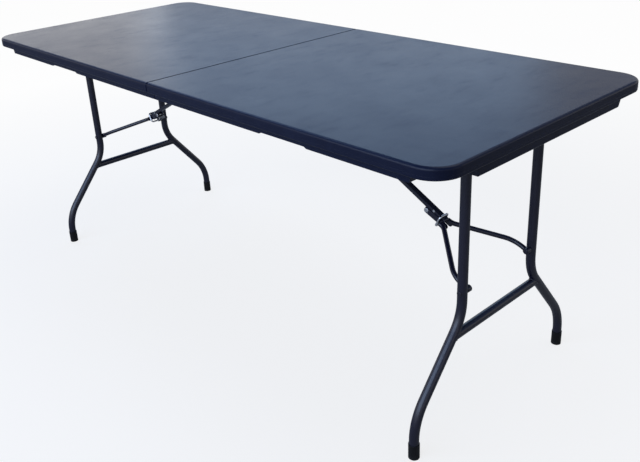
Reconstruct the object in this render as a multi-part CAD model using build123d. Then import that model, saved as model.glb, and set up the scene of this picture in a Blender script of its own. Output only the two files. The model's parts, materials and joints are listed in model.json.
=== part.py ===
from build123d import *
import os
from math import atan2, cos, degrees, hypot, radians, sin, tan

# Folding table: a moulded top in two halves, hinged across the middle, on two folding leg sets.
# Millimetres. Origin on the floor under the middle of the table, +X along the length, +Z up.

# Whole table
length = 1830.0
width = 760.0
height = 740.0

# Moulded top
seam_gap = 2.0
seam_round = 2.5
corner_radius = 62.0
lip_height = 26.0
lip_round = 7.0
lip_under_round = 3.0
slab_thickness = 18.0
apron_height = 29.0
apron_width = 22.0
apron_round = 4.0
side_apron_inset = 20.0
end_apron_inset = 7.0
side_apron_corner_gap = 77.0
side_apron_slant = 9.0
end_apron_corner_gap = 107.0
end_apron_slant = 14.0
hand_relief_start = 410.0
hand_relief_length = 149.0
hand_relief_depth = 3.5
hand_relief_slant = 7.0
seam_wall_width = 18.0
seam_wall_room = 27.0
recess_corner = 24.0
groove_half_width = 20.0
groove_depth = 11.5
groove_end_room = 25.0

# Side rails and centre hinges
rail_gap = 1.0
rail_width = 15.0
rail_height = 28.0
rail_wall = 1.5
rail_seam_gap = 12.0
rail_end_room = 50.0
hinge_drop = 32.5
hinge_plate = 3.0
hinge_plate_gap = 0.4
hinge_plate_length = 90.0
hinge_plate_height = 22.0
hinge_ear_radius = 9.0
hinge_pin_radius = 4.0
hinge_pin_head_radius = 7.0
hinge_pin_head = 3.0
running_clearance = 0.05
hole_overrun = 1.0

# Leg sets
leg_inset = 123.0
leg_pivot_drop = 18.0
tube_radius = 11.5
tube_wall = 1.2
tube_top = 11.0
foot_side_inset = 83.0
leg_step = 161.0
upper_bend_height = 290.0
lower_bend_height = 96.0
upper_bend_radius = 110.0
lower_bend_radius = 140.0
crossbar_height = 251.0
crossbar_radius = 10.75
pivot_tube_radius = 9.5
pivot_tube_bore = 5.5
pivot_end_radius = 7.0
pivot_end_length = 24.0
pivot_end_taper = 4.0
bush_wall = 2.0
bush_flange = 3.0
bush_flange_thickness = 1.5
cap_wall = 1.5
cap_sole = 3.0
cap_height = 38.0
cap_round = 1.0

# Locking braces
strut_pivot_x = 84.0
strut_pivot_drop = 1.0
strut_slope = 27.9
strut_width = 16.0
strut_depth = 10.0
strut_wall = 1.2
strut_tail = 50.0
strut_pin_radius = 3.0
strut_pin_head_radius = 4.5
strut_pin_head = 2.0
bracket_wall = 2.0
bracket_gap = 0.5
bracket_length = 34.0
joint_offset = 11.0
joint_ear_radius = 7.0
joint_rivet_radius = 3.0
lug_wall = 3.0
cheek_gap = 0.3
cheek_wall = 2.0
yoke_rod_radius = 6.0
yoke_ring_gap = 5.0
yoke_weld = 12.0
yoke_fork_radius = 25.0
yoke_drop = 352.0
yoke_leg_gap = 0.5
yoke_end_run = 40.0
yoke_bend_radius = 70.0
yoke_eye_radius = 8.0
yoke_eye_proud = 0.3
rivet_head_radius = 6.0
rivet_head = 1.6
rivet_head_round = 1.2
rivet_short = 0.3
strut_rivet_past_joint = 17.0
strut_rivet_rise = 1.5
strut_rivet_radius = 2.0
strut_rivet_head_radius = 3.5
ring_wire_radius = 2.6
ring_past_joint = 42.0
ring_side_gap = 0.5
ring_top_gap = 0.5
ring_under_gap = 5.0
ring_corner = 6.5

# Screws
screw_radius = 2.0
screw_length = 12.0
bracket_screw_length = 6.0
screw_head_radius = 4.5
screw_head = 2.5
rail_screw_count = 4

# Heights and places that follow from the sizes above
underside = height - slab_thickness
lip_bottom = height - lip_height
apron_bottom = underside - apron_height
half_start = seam_gap / 2
half_end = length / 2
side_apron_face = width / 2 - side_apron_inset
side_apron_inner = side_apron_face - apron_width
end_apron_face = half_end - end_apron_inset
end_apron_inner = end_apron_face - apron_width
rail_outer = side_apron_inner - rail_gap
rail_inner = rail_outer - rail_width
rail_end = half_end - leg_inset + rail_end_room
hinge_z = underside - hinge_drop
pivot_x = half_end - leg_inset
pivot_z = underside - leg_pivot_drop
strut_z = underside - strut_pivot_drop
groove_top = underside + groove_depth
seam_wall_half = rail_inner - seam_wall_room
foot_half_spread = width / 2 - foot_side_inset
leg_half_spread = foot_half_spread - leg_step
tube_inner_face = leg_half_spread - tube_radius
cheek_inner = strut_width / 2 + cheek_gap
cheek_outer = cheek_inner + cheek_wall

# The brace: strut S to J, yoke J to Q, with Q on the leg and P the leg's pivot.
# The strut lies level when the leg is folded flat, which fixes how far along it the joint is.
yoke_x = pivot_x
yoke_z = pivot_z - yoke_drop
slope_cos = cos(radians(strut_slope))
slope_sin = sin(radians(strut_slope))
open_dx = strut_pivot_x - yoke_x
open_dz = strut_z - yoke_z
shut_dx = strut_pivot_x - (pivot_x - yoke_drop)
shut_dz = strut_z - pivot_z
square_change = (open_dx**2 + open_dz**2 - shut_dx**2 - shut_dz**2) / 2
offset_change = joint_offset * (shut_dz - open_dx * slope_sin - open_dz * slope_cos)
strut_reach = -(square_change + offset_change) / (open_dx * slope_cos - open_dz * slope_sin - shut_dx)
joint_x = strut_pivot_x + strut_reach * slope_cos - joint_offset * slope_sin
joint_z = strut_z - strut_reach * slope_sin - joint_offset * slope_cos
yoke_length = hypot(yoke_x - joint_x, yoke_z - joint_z)
yoke_slope = degrees(atan2(joint_z - yoke_z, yoke_x - joint_x))
shut_run = pivot_x - yoke_drop - strut_pivot_x - strut_reach
shut_yoke = degrees(atan2(-(strut_z - joint_offset - pivot_z), shut_run))
leg_turn = 90.0
yoke_turn = yoke_slope + (shut_yoke if shut_yoke < 0 else shut_yoke - 360.0)
clevis_rise = radians(strut_slope - yoke_slope)
clevis_low = joint_offset - ring_past_joint * tan(clevis_rise) + joint_ear_radius / cos(clevis_rise)
clevis_high = (ring_past_joint + ring_wire_radius) * tan(clevis_rise) - joint_offset
clevis_high += joint_ear_radius / cos(clevis_rise)
ring_rise = max(strut_depth / 2, clevis_high) + ring_top_gap
ring_drop = clevis_low + ring_under_gap
ring_front = (ring_past_joint + ring_wire_radius) / cos(clevis_rise)
yoke_fork = ring_front + yoke_rod_radius * tan(abs(clevis_rise)) + yoke_ring_gap
yoke_eye_half = yoke_rod_radius + yoke_eye_proud
groove_start = strut_pivot_x - groove_end_room
groove_end = strut_pivot_x + strut_reach + strut_tail + groove_end_room

os.makedirs("parts", exist_ok=True)


# A plate drawn by its corners in the XZ plane and given its thickness from y_low to y_high.
def xz_plate(sketch, y_low, y_high):
    return Pos(0, y_high, 0) * extrude(Plane.XZ * sketch, y_high - y_low)


# A round bar along Y from y_low to y_high, at x and z.
def y_bar(radius, y_low, y_high, x=0.0, z=0.0):
    bar = Cylinder(radius, y_high - y_low, align=(Align.CENTER, Align.CENTER, Align.MIN))
    return Pos(x, y_low, z) * Rot(-90, 0, 0) * bar


# The same piece on the front and on the back of the table.
def both_sides(piece):
    return [piece, mirror(piece, about=Plane.XZ)]


# The plan of one half, drawn in from the rim by inset.
def half_plan(inset):
    plan = Rectangle(half_end - inset - half_start, width - 2 * inset, align=(Align.MIN, Align.CENTER))
    plan = Pos(half_start, 0) * plan
    return fillet(plan.vertices().group_by(Axis.X)[-1], corner_radius - inset)


# The apron along one long side: slanted end, and a shallower stretch where a hand lifts the table.
def side_apron():
    stop = half_end - side_apron_corner_gap
    relief_end = hand_relief_start + hand_relief_length
    relief_z = apron_bottom + hand_relief_depth
    outline = Polygon(
        (half_start, underside),
        (half_start, apron_bottom),
        (hand_relief_start, apron_bottom),
        (hand_relief_start + hand_relief_slant, relief_z),
        (relief_end - hand_relief_slant, relief_z),
        (relief_end, apron_bottom),
        (stop - side_apron_slant, apron_bottom),
        (stop, underside),
        align=None,
    )
    return xz_plate(outline, -side_apron_face, -side_apron_inner)


# The apron across the end, shorter than the end and slanted at both ends.
def end_apron():
    half = width / 2 - end_apron_corner_gap
    outline = Polygon(
        (-half, underside),
        (end_apron_slant - half, apron_bottom),
        (half - end_apron_slant, apron_bottom),
        (half, underside),
        align=None,
    )
    wall = extrude(Plane.YZ * outline, apron_width)
    wall = fillet(wall.edges().filter_by(Axis.Y).group_by(Axis.Z)[0], apron_round)
    return Pos(end_apron_inner, 0, 0) * wall


# One moulded half: rounded lip, slab, aprons, seam wall and the groove that the folded strut lies in.
def top_panel():
    body = Pos(0, 0, lip_bottom) * extrude(half_plan(0), lip_height)
    rim = [edge for edge in body.edges().group_by(Axis.Z)[-1] if edge.center().X > half_start + seam_gap]
    body = fillet(rim, lip_round)
    rim = [edge for edge in body.edges().group_by(Axis.Z)[0] if edge.center().X > half_start + seam_gap]
    body = fillet(rim, lip_under_round)
    seam_edges = [edge for edge in body.edges() if edge.center().X < half_start + seam_gap / 2]
    body = fillet(seam_edges, seam_round)
    recess = Rectangle(end_apron_inner - half_start, 2 * side_apron_inner, align=(Align.MIN, Align.CENTER))
    recess = fillet((Pos(half_start, 0) * recess).vertices().group_by(Axis.X)[-1], recess_corner)
    body -= Pos(0, 0, lip_bottom) * extrude(recess, underside - lip_bottom)
    apron = side_apron()
    seam_wall = Pos(half_start, 0, apron_bottom) * Box(
        seam_wall_width, 2 * seam_wall_half, apron_height, align=(Align.MIN, Align.CENTER, Align.MIN)
    )
    body = body + apron + mirror(apron, about=Plane.XZ) + end_apron() + seam_wall
    groove = Pos(groove_start, 0, underside) * Box(
        groove_end - groove_start,
        2 * groove_half_width,
        groove_depth,
        align=(Align.MIN, Align.CENTER, Align.MIN),
    )
    body -= groove
    for place in rail_screw_places():
        body -= place * Cylinder(screw_radius, screw_length, align=(Align.CENTER, Align.CENTER, Align.MIN))
    for place in bracket_screw_places():
        body -= place * Cylinder(
            screw_radius, bracket_screw_length, align=(Align.CENTER, Align.CENTER, Align.MIN)
        )
    return body


# Where the screws enter the moulded top, at the faces that they pull against it.
def rail_screw_places():
    y = (rail_inner + rail_outer) / 2
    span = rail_end - rail_seam_gap - 2 * rail_width
    step = span / (rail_screw_count - 1)
    xs = [rail_seam_gap + rail_width + step * index for index in range(rail_screw_count)]
    return [Pos(x, side * y, underside) for x in xs for side in (-1, 1)]


def bracket_screw_places():
    reach = bracket_length / 2 - screw_head_radius
    return [Pos(strut_pivot_x + end * reach, 0, groove_top) for end in (-1, 1)]


# A pan-head screw pointing up, with its seat at z = 0 under the sheet that it holds.
def screw(sheet, grip):
    shank = Pos(0, 0, -sheet) * Cylinder(
        screw_radius, sheet + grip, align=(Align.CENTER, Align.CENTER, Align.MIN)
    )
    head = Pos(0, 0, -sheet - screw_head) * Cylinder(
        screw_head_radius, screw_head, align=(Align.CENTER, Align.CENTER, Align.MIN)
    )
    head = fillet(head.edges().group_by(Axis.Z)[0], screw_head / 2)
    return head + shank


# The front rail: a channel open towards the apron, with holes for the pivot bush and its screws.
def front_rail():
    web = Pos(rail_seam_gap, -rail_inner - rail_wall, underside - rail_height) * Box(
        rail_end - rail_seam_gap, rail_wall, rail_height, align=Align.MIN
    )
    flange = Pos(rail_seam_gap, -rail_outer, underside - rail_wall) * Box(
        rail_end - rail_seam_gap, rail_width, rail_wall, align=Align.MIN
    )
    rail = web + flange + Pos(0, 0, rail_wall - rail_height) * flange
    rail -= y_bar(bush_outer(), -rail_outer, -rail_inner + hole_overrun, pivot_x, pivot_z)
    for place in rail_screw_places():
        rail -= place * Pos(0, 0, -rail_wall) * Cylinder(
            screw_radius, rail_wall, align=(Align.CENTER, Align.CENTER, Align.MIN)
        )
    return rail


def bush_outer():
    return pivot_end_radius + running_clearance + bush_wall


# The front pivot bush: a nylon collar in the rail, flanged against its inner face.
def front_bush():
    sleeve = y_bar(bush_outer(), -rail_inner - rail_wall, -rail_inner, pivot_x, pivot_z)
    flange_y = -rail_inner + bush_flange_thickness
    flange = y_bar(bush_outer() + bush_flange, -rail_inner, flange_y, pivot_x, pivot_z)
    bore = y_bar(pivot_end_radius + running_clearance, -rail_outer, flange_y, pivot_x, pivot_z)
    return sleeve + flange - bore


# A front hinge plate, with its ear round the centre pin; lift moves it inboard on a spacing pad.
def front_hinge_plate(lift, hole_radius):
    outer = -rail_inner + lift
    top = underside - (rail_height - hinge_plate_height) / 2
    arm = Polygon(
        (rail_seam_gap, top),
        (rail_seam_gap, top - hinge_plate_height),
        (hinge_plate_length, top - hinge_plate_height),
        (hinge_plate_length, top),
        align=None,
    )
    neck = Polygon(
        (-hinge_ear_radius, hinge_z),
        (hinge_ear_radius, hinge_z),
        (hinge_plate_length / 2, top - hinge_plate_height),
        (rail_seam_gap, top - hinge_plate_height / 3),
        align=None,
    )
    ear = Pos(0, hinge_z) * Circle(hinge_ear_radius)
    plate = xz_plate(arm + neck + ear, outer, outer + hinge_plate)
    plate -= y_bar(hole_radius, outer - hole_overrun, outer + hinge_plate + hole_overrun, 0, hinge_z)
    if lift > 0:
        plate += xz_plate(arm, -rail_inner, outer)
    return plate


# A front hinge pin through both plates, with a head on each end.
def front_hinge_pin():
    low = -rail_inner
    high = low + 2 * hinge_plate + hinge_plate_gap
    pin = y_bar(hinge_pin_radius, low - hinge_pin_head, high + hinge_pin_head, 0, hinge_z)
    outer_head = y_bar(hinge_pin_head_radius, low - hinge_pin_head, low, 0, hinge_z)
    inner_low = high + hinge_plate_gap
    inner_head = y_bar(hinge_pin_head_radius, inner_low, high + hinge_pin_head, 0, hinge_z)
    return pin + outer_head + inner_head


# Puts a piece drawn with the leg's pivot at the origin in its place.
def at_leg(piece):
    return Pos(pivot_x, 0, pivot_z) * piece


# The front leg's form, filled: straight, then out to the side, then straight down to the sole.
def leg_form(radius):
    line = FilletPolyline(
        (0, -leg_half_spread, tube_top),
        (0, -leg_half_spread, upper_bend_height - pivot_z),
        (0, -foot_half_spread, lower_bend_height - pivot_z),
        (0, -foot_half_spread, cap_sole - pivot_z),
        radius=(upper_bend_radius, lower_bend_radius),
    )
    section = Plane(origin=line @ 0, z_dir=line % 0) * Circle(radius)
    return at_leg(sweep(section, path=line))


def front_leg():
    tube = leg_form(tube_radius) - leg_form(tube_radius - tube_wall)
    tube -= at_leg(y_bar(pivot_tube_radius, -width / 2, width / 2))
    tube -= at_leg(y_bar(joint_rivet_radius, -leg_half_spread - 2 * tube_radius, 0, 0, -yoke_drop))
    return tube


# The front foot cap: a cup over the tube's end with a flat sole on the floor.
def front_foot_cap():
    cup = Pos(pivot_x, -foot_half_spread, 0) * Cylinder(
        tube_radius + cap_wall, cap_height, align=(Align.CENTER, Align.CENTER, Align.MIN)
    )
    cup = fillet(cup.edges().group_by(Axis.Z)[-1], cap_round)
    return cup - leg_form(tube_radius)


# The crossbar between the legs, coped to fit them.
def crossbar():
    drop = crossbar_height - pivot_z
    bar = y_bar(crossbar_radius, -foot_half_spread, foot_half_spread, 0, drop)
    bar -= y_bar(crossbar_radius - tube_wall, -foot_half_spread, foot_half_spread, 0, drop)
    leg = leg_form(tube_radius)
    bar = at_leg(bar) - leg - mirror(leg, about=Plane.XZ)
    return bar.solids().sort_by(SortBy.VOLUME)[-1]


# The pivot tube across the top of the leg set, with its ends drawn down to turn in the bushes.
def pivot_tube():
    end = rail_inner + rail_wall + pivot_end_length / 2
    shoulder = end - pivot_end_length
    profile = Polygon(
        (pivot_tube_bore, 0),
        (pivot_tube_radius, 0),
        (pivot_tube_radius, shoulder - pivot_end_taper),
        (pivot_end_radius, shoulder),
        (pivot_end_radius, end),
        (pivot_tube_bore, end),
        align=None,
    )
    half = revolve(Plane.XZ * profile, axis=Axis.Z)
    whole = half + mirror(half, about=Plane.XY)
    return at_leg(Rot(90, 0, 0) * whole)


# A rivet head, domed away from y_face towards the given side, on a shank's axis at x and z.
def rivet_dome(y_face, side, x, z):
    dome = Cylinder(rivet_head_radius, rivet_head, align=(Align.CENTER, Align.CENTER, Align.MIN))
    dome = fillet(dome.edges().group_by(Axis.Z)[-1], rivet_head_round)
    return Pos(x, y_face, z) * Rot(-90 * side, 0, 0) * dome


# The front leg's half of the yoke rivet: through the tube, with its head on the outside.
def front_leg_rivet():
    outer = -leg_half_spread - tube_radius
    inner = -tube_inner_face
    return y_bar(joint_rivet_radius, outer, inner, yoke_x, yoke_z) + rivet_dome(outer, -1, yoke_x, yoke_z)


# Turns a piece drawn along +X from the strut's pivot to its sloping place.
def at_strut(piece):
    return Pos(strut_pivot_x, 0, strut_z) * Rot(0, strut_slope, 0) * piece


# The strut: a flat tube with rounded ends and a pair of lugs below it that carry the joint.
def strut():
    half_depth = strut_depth / 2
    end = strut_reach + strut_tail
    outline = Polygon((0, -half_depth), (end, -half_depth), (end, half_depth), (0, half_depth), align=None)
    outline += Circle(half_depth)
    outline += Pos(end, 0) * Circle(half_depth)
    bar = xz_plate(outline, -strut_width / 2, strut_width / 2)
    inner = strut_depth - 2 * strut_wall
    bar -= Pos(half_depth, 0, 0) * Box(
        end - strut_depth, strut_width - 2 * strut_wall, inner, align=(Align.MIN, Align.CENTER, Align.CENTER)
    )
    lug = Pos(strut_reach, -joint_offset) * Circle(joint_ear_radius)
    lug += Pos(strut_reach, -joint_offset) * Rectangle(
        2 * joint_ear_radius, joint_offset - half_depth, align=(Align.CENTER, Align.MIN)
    )
    lug_inner = strut_width / 2 - lug_wall
    lugs = xz_plate(lug, -strut_width / 2, -lug_inner) + xz_plate(lug, lug_inner, strut_width / 2)
    bar += lugs
    bar -= strut_rivet_form()
    hole = joint_rivet_radius + running_clearance
    bar -= y_bar(hole, -strut_width, strut_width, strut_reach, -joint_offset)
    bar -= y_bar(strut_pin_radius + running_clearance, -strut_width, strut_width)
    return at_strut(bar)


# The strut's bracket: a channel in the groove, open downwards, with a hole in each cheek for the pin.
def strut_bracket():
    inner = strut_width / 2 + bracket_gap
    outer = inner + bracket_wall
    base = Pos(strut_pivot_x, 0, groove_top - bracket_wall) * Box(
        bracket_length, 2 * outer, bracket_wall, align=(Align.CENTER, Align.CENTER, Align.MIN)
    )
    cheek = Pos(strut_pivot_x, strut_z) * Circle(strut_depth / 2 + bracket_wall)
    cheek += Polygon(
        (strut_pivot_x - bracket_length / 2, groove_top),
        (strut_pivot_x - strut_depth / 2 - bracket_wall, strut_z),
        (strut_pivot_x + strut_depth / 2 + bracket_wall, strut_z),
        (strut_pivot_x + bracket_length / 2, groove_top),
        align=None,
    )
    bracket = base + xz_plate(cheek, -outer, -inner) + xz_plate(cheek, inner, outer)
    bracket -= y_bar(strut_pin_radius, -outer - hole_overrun, outer + hole_overrun, strut_pivot_x, strut_z)
    for place in bracket_screw_places():
        bracket -= place * Pos(0, 0, -bracket_wall) * Cylinder(
            screw_radius, bracket_wall, align=(Align.CENTER, Align.CENTER, Align.MIN)
        )
    return bracket


def strut_pin():
    face = strut_width / 2 + bracket_gap + bracket_wall
    end = face + strut_pin_head
    pin = y_bar(strut_pin_radius, -end, end, strut_pivot_x, strut_z)
    pin += y_bar(strut_pin_head_radius, -end, -face, strut_pivot_x, strut_z)
    pin += y_bar(strut_pin_head_radius, face, end, strut_pivot_x, strut_z)
    return pin


# Turns a piece drawn along +X from the brace's joint to the yoke's sloping place.
def at_yoke(piece):
    return Pos(joint_x, 0, joint_z) * Rot(0, yoke_slope, 0) * piece


# The yoke's front arm: a flat cheek at the joint, then a rod bent to an eye beside the leg.
def front_yoke_arm():
    side = tube_inner_face - yoke_leg_gap - yoke_eye_half
    fork_side = cheek_inner + cheek_wall / 2 + yoke_rod_radius
    fork_end = yoke_fork + yoke_weld
    line = FilletPolyline(
        (yoke_fork, -fork_side, 0),
        (fork_end, -fork_side, 0),
        (yoke_length - yoke_end_run, -side, 0),
        (yoke_length, -side, 0),
        radius=(yoke_fork_radius, yoke_bend_radius),
    )
    section = Plane(origin=line @ 0, z_dir=line % 0) * Circle(yoke_rod_radius)
    arm = sweep(section, path=line)
    cheek = Circle(joint_ear_radius)
    cheek += Rectangle(fork_end, 2 * joint_ear_radius, align=(Align.MIN, Align.CENTER))
    cheek += Pos(fork_end, 0) * Circle(joint_ear_radius)
    arm += xz_plate(cheek, -cheek_outer, -cheek_inner)
    arm += y_bar(yoke_eye_radius, -side - yoke_eye_half, yoke_eye_half - side, yoke_length)
    arm -= y_bar(joint_rivet_radius, -side - yoke_eye_radius, yoke_eye_radius - side, yoke_length)
    arm -= y_bar(joint_rivet_radius, -strut_width, strut_width)
    return at_yoke(arm)


def joint_rivet():
    rivet = y_bar(joint_rivet_radius, -cheek_outer, cheek_outer, joint_x, joint_z)
    rivet += rivet_dome(-cheek_outer, -1, joint_x, joint_z)
    rivet += rivet_dome(cheek_outer, 1, joint_x, joint_z)
    return rivet


# The rivet that closes the strut's end, countersunk so that the clevis passes over it.
def strut_rivet_form():
    x = strut_reach + strut_rivet_past_joint
    side = strut_width / 2
    form = y_bar(strut_rivet_radius, -side, side, x, strut_rivet_rise)
    head = Cone(
        strut_rivet_head_radius, strut_rivet_radius, strut_wall, align=(Align.CENTER, Align.CENTER, Align.MIN)
    )
    for face, turn in ((-side, -90), (side, 90)):
        form += Pos(x, face, strut_rivet_rise) * Rot(turn, 0, 0) * head
    return form


# The yoke's half of a pivot rivet: head inside the fork, shank ending just short of the leg.
def front_yoke_rivet():
    eye_inner = yoke_leg_gap - tube_inner_face + 2 * yoke_eye_half
    shank = y_bar(joint_rivet_radius, rivet_short - tube_inner_face, eye_inner, yoke_x, yoke_z)
    return shank + rivet_dome(eye_inner, 1, yoke_x, yoke_z)


# The lock ring: an oblong wire link round the strut and the clevis.
def lock_ring():
    half = cheek_outer + rivet_head + ring_side_gap + ring_wire_radius
    top = ring_rise + ring_wire_radius
    bottom = -ring_drop - ring_wire_radius
    link = RectangleRounded(2 * half, top - bottom, ring_corner)
    line = Pos(strut_reach + ring_past_joint, 0, (top + bottom) / 2) * (Plane.YZ * link)
    path = line.wire()
    section = Plane(origin=path @ 0, z_dir=path % 0) * Circle(ring_wire_radius)
    return at_strut(sweep(section, path=path))


def save(name, *pieces):
    solids = [solid for piece in pieces for solid in piece.solids()]
    shape = solids[0] if len(solids) == 1 else Compound(children=solids)
    export_step(shape, f"parts/{name}.step")


# Each half takes the same pieces; the far half is the near half mirrored across the seam.
def save_half(half, turn, plate_lift, plate_hole):
    rails = both_sides(front_rail())
    plates = both_sides(front_hinge_plate(plate_lift, plate_hole))
    save(f"{half}_top_panel", turn(top_panel()))
    save(f"{half}_front_rail", turn(rails[0]))
    save(f"{half}_back_rail", turn(rails[1]))
    save(f"{half}_front_hinge_plate", turn(plates[0]))
    save(f"{half}_back_hinge_plate", turn(plates[1]))
    save(f"{half}_pivot_bushes", *[turn(bush) for bush in both_sides(front_bush())])
    rail_screw = screw(rail_wall, screw_length)
    save(f"{half}_rail_screws", *[turn(place * rail_screw) for place in rail_screw_places()])
    save(f"{half}_strut_bracket", turn(strut_bracket()))
    save(f"{half}_strut_pin", turn(strut_pin()))
    bracket_screw = screw(bracket_wall, bracket_screw_length)
    save(f"{half}_bracket_screws", *[turn(place * bracket_screw) for place in bracket_screw_places()])


def save_leg_set(half, turn):
    legs = both_sides(front_leg())
    caps = both_sides(front_foot_cap())
    save(f"{half}_front_leg", turn(legs[0]))
    save(f"{half}_back_leg", turn(legs[1]))
    save(f"{half}_crossbar", turn(crossbar()))
    save(f"{half}_pivot_tube", turn(pivot_tube()))
    save(f"{half}_front_foot_cap", turn(caps[0]))
    save(f"{half}_back_foot_cap", turn(caps[1]))
    save(f"{half}_leg_rivets", *[turn(rivet) for rivet in both_sides(front_leg_rivet())])


def save_brace(half, turn):
    save(f"{half}_strut", turn(strut()))
    arms = both_sides(front_yoke_arm())
    save(f"{half}_strut_rivet", turn(at_strut(strut_rivet_form())))
    save(f"{half}_yoke_front_arm", turn(arms[0]))
    save(f"{half}_yoke_back_arm", turn(arms[1]))
    save(f"{half}_joint_rivet", turn(joint_rivet()))
    save(f"{half}_yoke_rivets", *[turn(rivet) for rivet in both_sides(front_yoke_rivet())])
    save(f"{half}_lock_ring", turn(lock_ring()))


def stay(piece):
    return piece


def across_seam(piece):
    return mirror(piece, about=Plane.YZ)


save_half("near", stay, 0, hinge_pin_radius)
save_half("far", across_seam, hinge_plate + hinge_plate_gap, hinge_pin_radius + running_clearance)
save("hinge_pins", *both_sides(front_hinge_pin()))
for half, turn in (("near", stay), ("far", across_seam)):
    save_leg_set(half, turn)
    save_brace(half, turn)

print(f"leg pivot {pivot_x:.2f} {pivot_z:.2f}, turn {leg_turn:.2f}")
print(f"strut pivot {strut_pivot_x:.2f} {strut_z:.2f}, reach {strut_reach:.2f}, turn {strut_slope:.2f}")
print(f"joint {joint_x:.2f} {joint_z:.2f}, yoke length {yoke_length:.2f}, slope {yoke_slope:.2f}")
print(f"yoke turn {yoke_turn:.2f}, on the strut {yoke_turn - strut_slope:.2f}")
print(f"fold axis height {hinge_z:.2f}")
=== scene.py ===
# %% [markdown]
# # A folding table
# The table is a dark moulded top in two hinged halves on two folding leg sets.
# Its solids are already built at their real size. They come in as a fixed frame, and this lesson
# gives every surface its finish, adds the small things a maker leaves on it, and sets up its picture.

# %% Load the frame
import bpy
import json
import math
from mathutils import Matrix, Vector


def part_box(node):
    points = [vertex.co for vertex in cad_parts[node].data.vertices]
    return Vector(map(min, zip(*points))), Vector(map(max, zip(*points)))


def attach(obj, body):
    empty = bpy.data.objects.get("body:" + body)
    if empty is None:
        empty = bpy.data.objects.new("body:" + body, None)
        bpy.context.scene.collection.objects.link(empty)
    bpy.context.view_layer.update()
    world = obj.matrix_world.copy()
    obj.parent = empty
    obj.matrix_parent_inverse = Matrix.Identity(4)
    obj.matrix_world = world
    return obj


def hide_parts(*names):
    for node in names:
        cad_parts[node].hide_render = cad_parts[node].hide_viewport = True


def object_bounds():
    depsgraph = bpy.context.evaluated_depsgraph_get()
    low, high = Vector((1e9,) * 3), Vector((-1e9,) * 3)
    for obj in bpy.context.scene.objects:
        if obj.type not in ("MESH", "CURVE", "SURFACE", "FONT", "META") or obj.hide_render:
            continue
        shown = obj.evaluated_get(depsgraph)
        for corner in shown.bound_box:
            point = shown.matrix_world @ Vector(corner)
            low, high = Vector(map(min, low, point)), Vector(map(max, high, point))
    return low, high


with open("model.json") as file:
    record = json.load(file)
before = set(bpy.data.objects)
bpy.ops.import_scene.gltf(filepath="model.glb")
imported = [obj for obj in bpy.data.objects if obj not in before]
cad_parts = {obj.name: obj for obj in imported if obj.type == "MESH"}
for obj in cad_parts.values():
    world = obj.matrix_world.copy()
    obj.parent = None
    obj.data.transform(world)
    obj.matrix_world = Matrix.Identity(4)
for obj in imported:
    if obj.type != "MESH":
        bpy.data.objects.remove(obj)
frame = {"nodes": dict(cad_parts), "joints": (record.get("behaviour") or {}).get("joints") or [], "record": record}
cad_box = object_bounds()
nodes = frame["nodes"]
print("nodes", len(nodes), "box", [round(v, 3) for corner in cad_box for v in corner])

# %% [markdown]
# ## Writing node trees as sums
# A material is a tree of nodes, and wiring each one by hand hides what the tree works out.
# A small class can wrap a socket instead, so that `1 - mask * 0.5` adds the Math nodes by itself,
# and one method adds any other node. That keeps each finish a few readable lines, and the same
# class serves the Geometry Nodes trees further down.

# %% A socket that can be used in sums
def find_socket(sockets, key):
    """The socket with this index, identifier or name."""
    if isinstance(key, int):
        return sockets[key]
    for socket in sockets:
        if socket.identifier == key:
            return socket
    return sockets[key]


class Wire:
    """One socket of a tree: sums on it add Math nodes, and node() adds any other node."""

    def __init__(self, tree, socket=None):
        self.tree = tree
        self.socket = socket

    def node(self, kind, settings, sockets, out=0):
        made = self.tree.nodes.new(kind)
        for name, value in settings.items():
            if name == "stops":
                set_stops(made.color_ramp, value)
            else:
                setattr(made, name, value)
        for key, value in sockets.items():
            self.feed(made, key, value)
        return Wire(self.tree, find_socket(made.outputs, out))

    def feed(self, node, key, value):
        """Links a wire, or each wire of a list, to a node's socket, or sets a plain value on it."""
        target = find_socket(node.inputs, key)
        if isinstance(value, list):
            for wire in value:
                self.tree.links.new(wire.socket, target)
        elif isinstance(value, Wire):
            self.tree.links.new(value.socket, target)
        else:
            target.default_value = value

    def maths(self, operation, first, second):
        return self.node("ShaderNodeMath", {"operation": operation}, {0: first, 1: second})

    def __add__(self, other):
        return self.maths("ADD", self, other)

    def __radd__(self, other):
        return self.maths("ADD", other, self)

    def __sub__(self, other):
        return self.maths("SUBTRACT", self, other)

    def __rsub__(self, other):
        return self.maths("SUBTRACT", other, self)

    def __mul__(self, other):
        return self.maths("MULTIPLY", self, other)

    def __rmul__(self, other):
        return self.maths("MULTIPLY", other, self)


def set_stops(ramp, stops):
    """Gives a ramp its grey stops, each a place and a level."""
    while len(ramp.elements) < len(stops):
        ramp.elements.new(1.0)
    for element, (place, level) in zip(ramp.elements, stops):
        element.position = place
        element.color = (level, level, level, 1.0)


print("wire ready")

# %% Small pattern helpers
def noise(place, scale, detail=2.0, rough=0.5):
    sockets = {"Vector": place, "Scale": scale, "Detail": detail, "Roughness": rough}
    return place.node("ShaderNodeTexNoise", {}, sockets)


def ramp(value, *stops):
    return value.node("ShaderNodeValToRGB", {"stops": stops}, {"Fac": value})


def mix(mask, low, high):
    sockets = {"Factor_Float": mask, "A_Color": low, "B_Color": high}
    return mask.node("ShaderNodeMix", {"data_type": "RGBA"}, sockets, "Result_Color")


def stretch(place, scale):
    return place.node("ShaderNodeMapping", {}, {"Vector": place, "Scale": scale})


def height_of(place):
    return place.node("ShaderNodeSeparateXYZ", {}, {"Vector": place}, "Z")


def bump(height, strength, depth, under=None):
    sockets = {"Height": height, "Strength": strength, "Distance": depth}
    if under is not None:
        sockets["Normal"] = under
    return height.node("ShaderNodeBump", {}, sockets)


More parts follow.
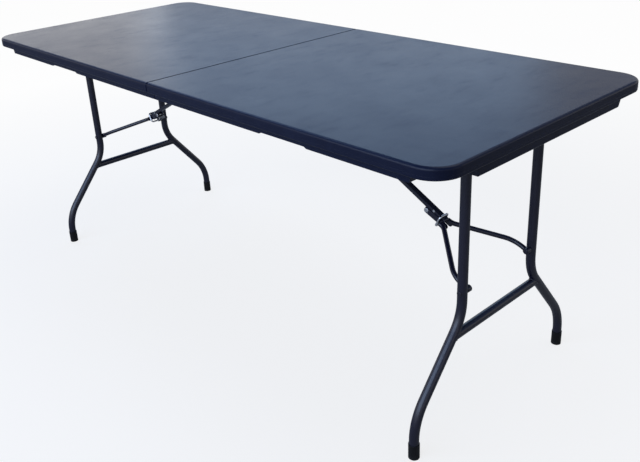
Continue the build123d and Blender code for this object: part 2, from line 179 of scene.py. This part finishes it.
def new_finish(name):
    """A new material, its shader node and a wire that starts at Object coordinates."""
    material = bpy.data.materials.new(name)
    material.use_nodes = True
    shader = material.node_tree.nodes["Principled BSDF"]
    place = Wire(material.node_tree).node("ShaderNodeTexCoord", {}, {}, "Object")
    return material, shader, place


finishes = {}
print("helpers ready")

# %% [markdown]
# ## The moulded top
# The top is blow-moulded plastic: nearly black with a blue cast, satin, and finely pebbled so that
# it hides scratches. The pebbles are a millimetre or two across, so a bump is enough for them.
# The sheet also draws in a little as it cools, and that slow unevenness makes the sheen wander.
# A picture of real plastic would give all this at once, but only for one light; nodes follow any.

# %% Moulded plastic
def moulded_plastic():
    material, shader, place = new_finish("moulded_top")
    night_blue = (0.003, 0.005, 0.019, 1)
    dark_blue = (0.006, 0.010, 0.031, 1)
    rubbed_blue = (0.014, 0.021, 0.052, 1)
    cloud = noise(place, scale=9.0, detail=3.0)
    fleck = noise(place, scale=160.0)
    pebble = noise(place, scale=620.0, rough=0.6)
    streaks = noise(stretch(place, (3.0, 1.0, 1.0)), scale=14.0, detail=6.0, rough=0.65)
    rubbed = ramp(streaks, (0.52, 0.0), (0.72, 1.0))
    clean = mix(cloud * 0.6 + fleck * 0.4, night_blue, dark_blue)
    waves = bump(noise(place, scale=14.0), strength=0.10, depth=0.003)
    place.feed(shader, "Base Color", mix(rubbed * 0.2, clean, rubbed_blue))
    place.feed(shader, "Specular IOR Level", 0.18)
    place.feed(shader, "Roughness", 0.28 + 0.10 * cloud + 0.05 * rubbed)
    place.feed(shader, "Normal", bump(pebble, strength=0.2, depth=0.0006, under=waves))
    return material


finishes["moulded_top"] = moulded_plastic()
print(finishes["moulded_top"].name)

# %% [markdown]
# ## Powder-coated steel
# The legs, braces and rails are steel with a dark powder coat. The powder melts into a skin with
# a faint orange peel, and it dulls where hands and straps rub it. The scuffs are a stretched noise
# cut off at a level, so that most of the tube stays clean.

# %% Powder coat
def powder_coat():
    material, shader, place = new_finish("powder_coat")
    dark_coat = (0.006, 0.006, 0.016, 1)
    pale_coat = (0.010, 0.010, 0.025, 1)
    scuffed_coat = (0.035, 0.035, 0.045, 1)
    cloud = noise(place, scale=22.0, detail=3.0)
    peel = noise(place, scale=480.0, detail=1.0)
    scratches = noise(stretch(place, (1.0, 1.0, 0.25)), scale=90.0, detail=4.0, rough=0.6)
    scuff = ramp(scratches, (0.60, 0.0), (0.74, 1.0))
    clean = mix(cloud, dark_coat, pale_coat)
    place.feed(shader, "Base Color", mix(scuff * 0.3, clean, scuffed_coat))
    place.feed(shader, "Specular IOR Level", 0.5)
    place.feed(shader, "Roughness", 0.27 + 0.08 * cloud + 0.15 * scuff)
    place.feed(shader, "Normal", bump(peel, strength=0.2, depth=0.0005))
    return material


finishes["painted_steel"] = powder_coat()
print(finishes["painted_steel"].name)

# %% [markdown]
# ## Plated steel
# Rivets, pins, screws and the lock rings are zinc plated: bright, a little grey, finely brushed.
# Zinc dulls in patches, so one noise drives both its colour and its roughness.

# %% Zinc plate
def zinc_plate():
    material, shader, place = new_finish("zinc_plate")
    dull_zinc = (0.50, 0.51, 0.53, 1)
    bright_zinc = (0.72, 0.73, 0.75, 1)
    cloud = noise(place, scale=120.0, detail=3.0)
    brushed = noise(stretch(place, (1.0, 6.0, 1.0)), scale=900.0, detail=1.0)
    place.feed(shader, "Base Color", mix(cloud, dull_zinc, bright_zinc))
    place.feed(shader, "Metallic", 1.0)
    place.feed(shader, "Roughness", 0.24 + 0.16 * cloud)
    place.feed(shader, "Normal", bump(brushed, strength=0.12, depth=0.0002))
    return material


finishes["plated_steel"] = zinc_plate()
print(finishes["plated_steel"].name)

# %% [markdown]
# ## Feet and bushes
# The foot caps are black rubbery plastic, dull and grey with floor dust near the sole, so the dust
# follows the height above the floor. The bushes are plain black nylon.

# %% Foot plastic and nylon
def foot_plastic():
    material, shader, place = new_finish("foot_plastic")
    cap_black = (0.003, 0.003, 0.004, 1)
    dust_grey = (0.030, 0.029, 0.028, 1)
    grain = noise(place, scale=520.0)
    clean = ramp(height_of(place) * 40.0 + noise(place, scale=60.0) * 0.5, (0.25, 0.0), (0.75, 1.0))
    dusty = 1 - clean
    place.feed(shader, "Base Color", mix(dusty * 0.4, cap_black, dust_grey))
    place.feed(shader, "Specular IOR Level", 0.25)
    place.feed(shader, "Roughness", 0.48 + 0.25 * dusty)
    place.feed(shader, "Normal", bump(grain, strength=0.3, depth=0.0004))
    return material


def bush_nylon():
    material, shader, place = new_finish("bush_nylon")
    black_nylon = (0.014, 0.014, 0.016, 1)
    grey_nylon = (0.028, 0.028, 0.030, 1)
    cloud = noise(place, scale=200.0, detail=3.0)
    place.feed(shader, "Base Color", mix(cloud, black_nylon, grey_nylon))
    place.feed(shader, "Roughness", 0.35 + 0.2 * cloud)
    place.feed(shader, "Normal", bump(cloud, strength=0.1, depth=0.0003))
    return material


finishes["foot_cap"] = foot_plastic()
finishes["bush_nylon"] = bush_nylon()
print(finishes["foot_cap"].name, finishes["bush_nylon"].name)

# %% [markdown]
# ## Giving each piece its finish
# The record says which slot each piece takes, so one table of slots finishes them all.

# %% Assign the finishes
for part in frame["record"]["subparts"]:
    mesh = nodes[part["node"]].data
    mesh.materials.clear()
    mesh.materials.append(finishes[part["material_slot"]])

# %% [markdown]
# ## Growing small pieces along paths
# Weld beads, rivets and screws repeat, and modelling each by hand would be slow and uneven.
# Geometry Nodes can place them instead: a tree takes points or paths and its sizes by name, puts
# a small shape at each place, and ends in real geometry with its finish. The result is then kept
# as a plain mesh, one for each body that moves, because instances are lost in an export.

# %% A tree with named inputs
def new_tree(name, sizes):
    """A Geometry Nodes tree, with a wire for each of its inputs by name."""
    tree = bpy.data.node_groups.new(name, "GeometryNodeTree")
    tree.interface.new_socket("Geometry", in_out="INPUT", socket_type="NodeSocketGeometry")
    for label in sizes:
        tree.interface.new_socket(label, in_out="INPUT", socket_type="NodeSocketFloat")
    tree.interface.new_socket("Finish", in_out="INPUT", socket_type="NodeSocketMaterial")
    tree.interface.new_socket("Geometry", in_out="OUTPUT", socket_type="NodeSocketGeometry")
    entry = tree.nodes.new("NodeGroupInput")
    return tree, {socket.name: Wire(tree, socket) for socket in entry.outputs if socket.name}


def close_tree(tree, wires, shape):
    """Ends a tree: real geometry, shaded smooth, in the chosen finish."""
    real = shape.node("GeometryNodeRealizeInstances", {}, {"Geometry": shape})
    smooth = shape.node("GeometryNodeSetShadeSmooth", {}, {"Geometry": real})
    sockets = {"Geometry": smooth, "Material": wires["Finish"]}
    done = shape.node("GeometryNodeSetMaterial", {}, sockets)
    leave = tree.nodes.new("NodeGroupOutput")
    tree.links.new(done.socket, leave.inputs[0])
    return tree


print("trees ready")

# %% Run a tree and keep the mesh
def grow(name, body, slot, tree, sizes, paths):
    """Runs a tree on paths of points, and leaves one plain mesh that rides on a body."""
    points = []
    edges = []
    for path in paths:
        first = len(points)
        points += path
        edges += [(first + step, first + step + 1) for step in range(len(path) - 1)]
    mesh = bpy.data.meshes.new(name)
    mesh.from_pydata(points, edges, [])
    piece = bpy.data.objects.new(name, mesh)
    bpy.context.collection.objects.link(piece)
    modifier = piece.modifiers.new("grow", "NODES")
    modifier.node_group = tree
    values = dict(sizes, Finish=finishes[slot])
    for item in tree.interface.items_tree:
        if item.in_out == "INPUT" and item.name in values:
            modifier[item.identifier] = values[item.name]
    depsgraph = bpy.context.evaluated_depsgraph_get()
    plain = bpy.data.meshes.new_from_object(piece.evaluated_get(depsgraph), depsgraph=depsgraph)
    piece.modifiers.remove(modifier)
    piece.data = plain
    bpy.data.meshes.remove(mesh)
    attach(piece, body)
    print(name, "faces", len(plain.polygons))
    return piece


print("grow ready")

# %% [markdown]
# ## Weld beads
# The crossbar and the pivot tube are welded to the legs, and the brace's arms to their flat cheeks.
# A welder's torch moves in small steps, so a bead is a row of overlapping ripples. A leg's bead
# follows the saddle line where two tubes meet, which comes from the tubes' sizes and places in the
# frame. The tree walks along that line in even steps and drops a slightly uneven ripple at each,
# from a fixed seed.

# %% The bead's tree
weld_seed = 7
ripple_spread = (0.85, 1.1)


def weld_tree():
    tree, wires = new_tree("weld_bead", ("Bead radius", "Ripple step"))
    start = wires["Geometry"]
    line = start.node("GeometryNodeMeshToCurve", {}, {"Mesh": start})
    sockets = {"Curve": line, "Length": wires["Ripple step"]}
    even = start.node("GeometryNodeResampleCurve", {"mode": "LENGTH"}, sockets)
    sockets = {"Segments": 8, "Rings": 6, "Radius": wires["Bead radius"]}
    ripple = start.node("GeometryNodeMeshUVSphere", {}, sockets)
    along = start.node("GeometryNodeInputTangent", {}, {})
    turn = start.node("FunctionNodeAlignRotationToVector", {"axis": "Z"}, {"Vector": along})
    smallest, largest = ripple_spread
    sockets = {"Min_001": smallest, "Max_001": largest, "Seed": weld_seed}
    swell = start.node("FunctionNodeRandomValue", {"data_type": "FLOAT"}, sockets, "Value_001")
    sockets = {"Points": even, "Instance": ripple, "Rotation": turn, "Scale": swell}
    return close_tree(tree, wires, start.node("GeometryNodeInstanceOnPoints", {}, sockets))


weld = weld_tree()
print(weld.name, "nodes", len(weld.nodes))

# %% Where the tubes of a leg set run
def measured(size):
    """A size of the frame to 0.01 mm, because the facets of its round pieces fall a hair short."""
    return round(size, 5)


def middle_of(node):
    low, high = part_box(node)
    return (low + high) / 2


def bar_radius_of(node):
    """The radius of a round bar that runs across the table."""
    low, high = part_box(node)
    return measured((high.x - low.x) / 2)


halves = {"near": 1, "far": -1}
joint_places = {joint["name"]: joint.get("pos_m") for joint in frame["joints"]}
leg_x, _, pivot_z = joint_places["near_leg_fold"]
pivot_radius = bar_radius_of("near_pivot_tube")
crossbar_radius = bar_radius_of("near_crossbar")
crossbar_z = measured(middle_of("near_crossbar").z)
leg_radius = 0.0115
upper_bend_z = 0.290
lower_bend_z = 0.096
leg_low, leg_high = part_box("near_front_leg")
leg_y = measured(leg_radius - leg_high.y)
foot_y = measured(-leg_low.y - leg_radius)
leg_slant = math.atan2(foot_y - leg_y, upper_bend_z - lower_bend_z)
print("legs", leg_y, "feet", foot_y, "slant", round(math.degrees(leg_slant), 1))

# %% Beads on the leg sets
bead_steps = 48


def saddle(x, y, z, bar_radius, slant, away):
    """The closed line on a bar along Y where it meets a leg at y that leans out below by slant."""
    line = []
    for step in range(bead_steps + 1):
        turn = 2 * math.pi * step / bead_steps
        across = bar_radius * math.cos(turn)
        rise = bar_radius * math.sin(turn)
        reach = away * math.sqrt(leg_radius ** 2 - across ** 2)
        run = (reach - rise * math.sin(slant)) / math.cos(slant)
        line.append((x + across, y + run, z + rise))
    return line


def both_sides(line):
    """The line and its mirror on the other side of the table."""
    return [line, [(x, -y, z) for x, y, z in line]]


leg_weld_sizes = {"Bead radius": 0.0018, "Ripple step": 0.0024}
crossbar_end_y = leg_y + (upper_bend_z - crossbar_z) * math.tan(leg_slant)
for half, side in halves.items():
    lines = both_sides(saddle(side * leg_x, crossbar_end_y, crossbar_z, crossbar_radius, leg_slant, -1))
    for away in (-1, 1):
        lines += both_sides(saddle(side * leg_x, leg_y, pivot_z, pivot_radius, 0.0, away))
    grow(f"{half}_leg_welds", f"{half}_legs", "painted_steel", weld, leg_weld_sizes, lines)

# %% Beads on the braces
joint_x, _, joint_z = joint_places["near_yoke_fold"]
yoke_slope = math.atan2(joint_z - middle_of("near_leg_rivets").z, leg_x - joint_x)
cheek_wall = 0.0020
cheek_face = cheek_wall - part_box("near_yoke_front_arm")[1].y
rod_meets_cheek = 0.0033
weld_start = 0.0500
weld_end = 0.0640


def on_yoke(side, along, y, rise):
    """A place on the yoke, measured from its joint along its slope."""
    x = along * math.cos(yoke_slope) + rise * math.sin(yoke_slope)
    z = rise * math.cos(yoke_slope) - along * math.sin(yoke_slope)
    return (side * (joint_x + x), y, joint_z + z)


def cheek_bead(side):
    """The open line round the rod's end on the cheek."""
    turns = ((weld_end, 1), (weld_start, 1), (weld_start, -1), (weld_end, -1))
    return [on_yoke(side, along, -cheek_face, way * rod_meets_cheek) for along, way in turns]


yoke_weld_sizes = {"Bead radius": 0.0012, "Ripple step": 0.0017}
for half, side in halves.items():
    lines = both_sides(cheek_bead(side))
    grow(f"{half}_yoke_welds", f"{half}_yoke", "painted_steel", weld, yoke_weld_sizes, lines)

# %% [markdown]
# ## Rivets on the hinge plates
# Three rivets hold each centre hinge plate to its rail. A rivet's head is a low dome on a thin
# flange, so the tree joins a flattened ball and a short disc, and puts the pair at each place.

# %% Hinge plate rivets
rivet_sides = 20
flange_reach = 1.15
flange_thickness = 0.5


def rivet_tree():
    tree, wires = new_tree("plate_rivet", ("Head radius", "Head height"))
    start = wires["Geometry"]
    radius = wires["Head radius"]
    height = wires["Head height"]
    sockets = {"Segments": rivet_sides, "Rings": rivet_sides // 2, "Radius": 1.0}
    ball = start.node("GeometryNodeMeshUVSphere", {}, sockets)
    flat = start.node("ShaderNodeCombineXYZ", {}, {"X": radius, "Y": height, "Z": radius})
    dome = start.node("GeometryNodeTransform", {}, {"Geometry": ball, "Scale": flat})
    thick = height * flange_thickness
    sockets = {"Vertices": rivet_sides, "Radius": radius * flange_reach, "Depth": thick}
    disc = start.node("GeometryNodeMeshCylinder", {}, sockets)
    sockets = {"Geometry": disc, "Rotation": (math.pi / 2, 0.0, 0.0)}
    flange = start.node("GeometryNodeTransform", {}, sockets)
    head = start.node("GeometryNodeJoinGeometry", {}, {"Geometry": [dome, flange]})
    sockets = {"Points": start, "Instance": head}
    return close_tree(tree, wires, start.node("GeometryNodeInstanceOnPoints", {}, sockets))


rivet = rivet_tree()
plate_rivet_x = (0.034, 0.057, 0.080)
plate_rivet_z = 0.708
rivet_sizes = {"Head radius": 0.0035, "Head height": 0.0014}
for half, side in halves.items():
    plate_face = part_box(f"{half}_front_hinge_plate")[1].y
    row = [(side * x, plate_face, plate_rivet_z) for x in plate_rivet_x]
    grow(f"{half}_plate_rivets", f"{half}_half", "plated_steel", rivet, rivet_sizes, both_sides(row))

# %% [markdown]
# ## Screws with a driver's cross
# The frame's screws have plain heads. From below, the cross for the driver shows, so these replace
# them: a flattened ball with two crossing slots cut out of it. The cut is made once in the tree,
# and the finished head is then placed at every hole.

# %% The screw's tree
screw_sides = 28
slot_length = 1.1
slot_width = 0.24
slot_depth = 1.1


def screw_tree():
    tree, wires = new_tree("cross_head_screw", ("Head radius", "Head height"))
    start = wires["Geometry"]
    radius = wires["Head radius"]
    height = wires["Head height"]
    sockets = {"Segments": screw_sides, "Rings": screw_sides // 2, "Radius": 1.0}
    ball = start.node("GeometryNodeMeshUVSphere", {}, sockets)
    flat = start.node("ShaderNodeCombineXYZ", {}, {"X": radius, "Y": radius, "Z": height})
    head = start.node("GeometryNodeTransform", {}, {"Geometry": ball, "Scale": flat})
    low = start.node("ShaderNodeCombineXYZ", {}, {"Z": height * -1.0})
    slots = []
    for across, wide in ((slot_length, slot_width), (slot_width, slot_length)):
        sockets = {"X": radius * across, "Y": radius * wide, "Z": height * slot_depth}
        size = start.node("ShaderNodeCombineXYZ", {}, sockets)
        block = start.node("GeometryNodeMeshCube", {}, {"Size": size})
        sockets = {"Geometry": block, "Translation": low}
        slots.append(start.node("GeometryNodeTransform", {}, sockets))
    sockets = {"Mesh 1": head, "Mesh 2": slots}
    settings = {"operation": "DIFFERENCE", "solver": "EXACT"}
    cut = start.node("GeometryNodeMeshBoolean", settings, sockets)
    sockets = {"Points": start, "Instance": cut}
    return close_tree(tree, wires, start.node("GeometryNodeInstanceOnPoints", {}, sockets))


screw = screw_tree()
print(screw.name, "nodes", len(screw.nodes))

# %% Screw heads
head_radius = 0.0045
head_height = 0.0025
screw_sizes = {"Head radius": head_radius, "Head height": head_height}
screws_low, screws_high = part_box("near_rail_screws")
rail_screw_gaps = 3
first_x = screws_low.x + head_radius
screw_step = (screws_high.x - head_radius - first_x) / rail_screw_gaps
rail_screw_x = [first_x + screw_step * step for step in range(rail_screw_gaps + 1)]
rail_screw_y = middle_of("near_front_rail").y
rail_screw_z = screws_low.z + head_height
bracket_x = joint_places["near_strut_fold"][0]
bracket_screw_reach = 0.0125
bracket_screw_x = (bracket_x - bracket_screw_reach, bracket_x + bracket_screw_reach)
bracket_screw_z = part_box("near_bracket_screws")[0].z + head_height


def screw_heads(half, row_name, rows):
    """Screw heads on one half of the top, in place of the frame's own."""
    name = f"{half}_{row_name}_screw"
    heads = grow(f"{name}_heads", f"{half}_half", "plated_steel", screw, screw_sizes, rows)
    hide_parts(f"{name}s")


for half, side in halves.items():
    row = [(side * x, rail_screw_y, rail_screw_z) for x in rail_screw_x]
    screw_heads(half, "rail", both_sides(row))
    row = [(side * x, 0.0, bracket_screw_z) for x in bracket_screw_x]
    screw_heads(half, "bracket", [row])

# %% [markdown]
# ## The mould's parting line
# The two sides of the mould close on the rim, and leave a hair-thin raised line round the three
# outer sides of each half. It follows the rim's plan, so a path and a round section make it, sunk
# so far that only 0.3 mm stands out.

# %% The line's tree
def bead_tree():
    tree, wires = new_tree("parting_line", ("Line radius",))
    start = wires["Geometry"]
    line = start.node("GeometryNodeMeshToCurve", {}, {"Mesh": start})
    sockets = {"Resolution": 8, "Radius": wires["Line radius"]}
    section = start.node("GeometryNodeCurvePrimitiveCircle", {"mode": "RADIUS"}, sockets)
    sockets = {"Curve": line, "Profile Curve": section, "Fill Caps": True}
    return close_tree(tree, wires, start.node("GeometryNodeCurveToMesh", {}, sockets))


parting = bead_tree()
print(parting.name, "nodes", len(parting.nodes))

# %% Parting lines
half_length = cad_box[1].x
half_width = cad_box[1].y
corner_radius = 0.062
corner_steps = 16
line_sizes = {"Line radius": 0.0005}
line_sunk = 0.0002
line_z = 0.7222
line_start = 0.006


def rim_path(side):
    """The plan of one half's rim from the seam, round both corners and back."""
    x_corner = half_length - corner_radius
    y_corner = half_width - corner_radius
    turn_radius = corner_radius - line_sunk
    arc = []
    for step in range(corner_steps + 1):
        turn = math.pi / 2 * step / corner_steps
        x = x_corner + turn_radius * math.sin(turn)
        arc.append((x, -y_corner - turn_radius * math.cos(turn)))
    front = [(line_start, line_sunk - half_width)] + arc
    whole = front + [(x, -y) for x, y in reversed(front)]
    return [(side * x, y, line_z) for x, y in whole]


for half, side in halves.items():
    path = rim_path(side)
    grow(f"{half}_parting_line", f"{half}_half", "moulded_top", parting, line_sizes, [path])

# %% [markdown]
# ## The floor
# The picture is a studio one on white. A white floor would throw light up into the dark sides and
# show in their gloss, so the paper is grey for the light that bounces off it, and pale only for the
# camera. Round the table a part of it stays real paper, which keeps the soft shadow. Further away
# it fades into plain white.

# %% Floor paper
floor_reach = 40.0
corners = [(-1, -1), (1, -1), (1, 1), (-1, 1)]
floor_mesh = bpy.data.meshes.new("floor")
floor_points = [(x * floor_reach, y * floor_reach, 0) for x, y in corners]
floor_mesh.from_pydata(floor_points, [], [(0, 1, 2, 3)])
floor = bpy.data.objects.new("floor", floor_mesh)
bpy.context.collection.objects.link(floor)


def ray_kind(wire, kind):
    return wire.node("ShaderNodeLightPath", {}, {}, kind)


def seen_rays(wire, mirrored=1.0):
    """1 on rays that show a surface directly or through glass, and a share of it on mirrored ones."""
    glossy = ray_kind(wire, "Is Glossy Ray") * mirrored
    clear = ray_kind(wire, "Is Transmission Ray")
    camera = ray_kind(wire, "Is Camera Ray")
    return wire.maths("MAXIMUM", camera, wire.maths("MAXIMUM", glossy, clear))


def floor_paper():
    material, shader, place = new_finish("floor_paper")
    tree = material.node_tree
    bounced_grey = (0.34, 0.34, 0.34, 1)
    shown_white = (0.9, 0.9, 0.9, 1)
    shown = ray_kind(place, "Is Camera Ray")
    place.feed(shader, "Base Color", mix(shown, bounced_grey, shown_white))
    place.feed(shader, "Roughness", 0.9)
    place.feed(shader, "Specular IOR Level", 0.1)
    glow = place.node("ShaderNodeEmission", {}, {"Color": (1, 1, 1, 1), "Strength": 1.0})
    distance = place.node("ShaderNodeVectorMath", {"operation": "LENGTH"}, {0: place}, "Value")
    away = ramp(distance * 0.2, (0.2, 0.0), (0.6, 1.0))
    share = seen_rays(place, mirrored=0.12) * (0.80 + 0.18 * away)
    sockets = {0: share, 1: Wire(tree, shader.outputs[0]), 2: glow}
    mixed = place.node("ShaderNodeMixShader", {}, sockets)
    tree.links.new(mixed.socket, tree.nodes["Material Output"].inputs["Surface"])
    return material


floor_mesh.materials.append(floor_paper())
print("floor", floor.dimensions[:])

# %% [markdown]
# ## The light
# The sky is white at the horizon and blue overhead, because the top mirrors it; the camera itself
# sees it white. A broad cool lamp in front draws the streaks on the legs. One lamp hangs over the
# back, and three weaker ones at the far end and behind give the top its sheen and its bright rim.

# %% Sky
white = (1.0, 1.0, 1.0, 1)
overhead_blue = (0.07, 0.15, 0.36, 1)
fill_strength = 0.25
world = bpy.data.worlds.new("studio")
bpy.context.scene.world = world
world.use_nodes = True
sky = Wire(world.node_tree)
background = world.node_tree.nodes["Background"]
rise = height_of(sky.node("ShaderNodeTexCoord", {}, {}, "Generated"))
mirrored_sky = mix(ramp(rise, (0.12, 0.0), (0.5, 1.0)), white, overhead_blue)
sky.feed(background, "Color", mix(ray_kind(sky, "Is Camera Ray"), mirrored_sky, white))
sky.feed(background, "Strength", fill_strength + (1 - fill_strength) * seen_rays(sky))
print("sky nodes", len(world.node_tree.nodes))

# %% Lamps
def soft_lamp(name, place, aim, size, watts, colour=(1.0, 1.0, 1.0)):
    lamp = bpy.data.lights.new(name, "AREA")
    lamp.shape = "RECTANGLE"
    lamp.size = size[0]
    lamp.size_y = size[1]
    lamp.energy = watts
    lamp.color = colour
    holder = bpy.data.objects.new(name, lamp)
    bpy.context.collection.objects.link(holder)
    turn = (Vector(aim) - Vector(place)).to_track_quat("-Z", "Y")
    holder.matrix_world = Matrix.Translation(place) @ turn.to_matrix().to_4x4()


table_middle = (0, 0, 0.6)
near_legs = (0.6, -0.2, 0.4)
front_edge = (0.0, -0.2, 0.7)
far_edge = (-0.8, -0.2, 0.74)
cool = (0.60, 0.74, 1.0)
blue = (0.45, 0.62, 1.0)
deep_blue = (0.34, 0.62, 1.0)
soft_lamp("overhead", (0.9, 0.9, 3.0), table_middle, size=(2.0, 2.0), watts=24.0)
soft_lamp("behind", (-1.74, 1.99, 2.04), table_middle, size=(2.6, 1.6), watts=16.0, colour=deep_blue)
soft_lamp("rim_glow", (-2.3, 0.0, 3.0), front_edge, size=(1.3, 1.3), watts=22.0, colour=blue)
soft_lamp("front", (0.4, -3.7, 2.2), near_legs, size=(5.6, 2.4), watts=165.0, colour=cool)
soft_lamp("far_glow", (-3.4, 0.9, 1.3), far_edge, size=(1.6, 0.9), watts=5.0)
print("lamps", len(bpy.data.lights))

# %% [markdown]
# ## The camera
# The photograph was fitted with a simple camera: where it stood, where it looked, how far it was
# tilted and how strong its lens was. Blender's camera takes the same values, with a small shift
# because the picture was cropped off its middle.

# %% Camera
camera_place = Vector((1.650, -1.336, 1.2385))
camera_heading = math.radians(137.64)
camera_rise = math.radians(-23.46)
camera_roll = math.radians(-2.93)
camera_lens = 43.39
camera_sensor = 36.0
camera_shift = (0.0079, -0.0650)

forward = Vector((
    math.cos(camera_rise) * math.cos(camera_heading),
    math.cos(camera_rise) * math.sin(camera_heading),
    math.sin(camera_rise),
))
level_right = forward.cross(Vector((0, 0, 1))).normalized()
level_up = level_right.cross(forward)
right = math.cos(camera_roll) * level_right + math.sin(camera_roll) * level_up
up = right.cross(forward)
lens = bpy.data.cameras.new("camera")
lens.sensor_fit = "HORIZONTAL"
lens.sensor_width = camera_sensor
lens.lens = camera_lens
lens.shift_x = camera_shift[0]
lens.shift_y = camera_shift[1]
camera = bpy.data.objects.new("camera", lens)
bpy.context.collection.objects.link(camera)
turn = Matrix((right, up, -forward)).transposed()
camera.matrix_world = Matrix.Translation(camera_place) @ turn.to_4x4()
bpy.context.scene.camera = camera
print("camera at", camera.location[:])

# %% [markdown]
# ## Colour
# The view transform stays Standard, so colours come out as written. The dressed table passes
# the frame's box only by the parting line.

# %% Colour
bpy.context.scene.view_settings.view_transform = "Standard"
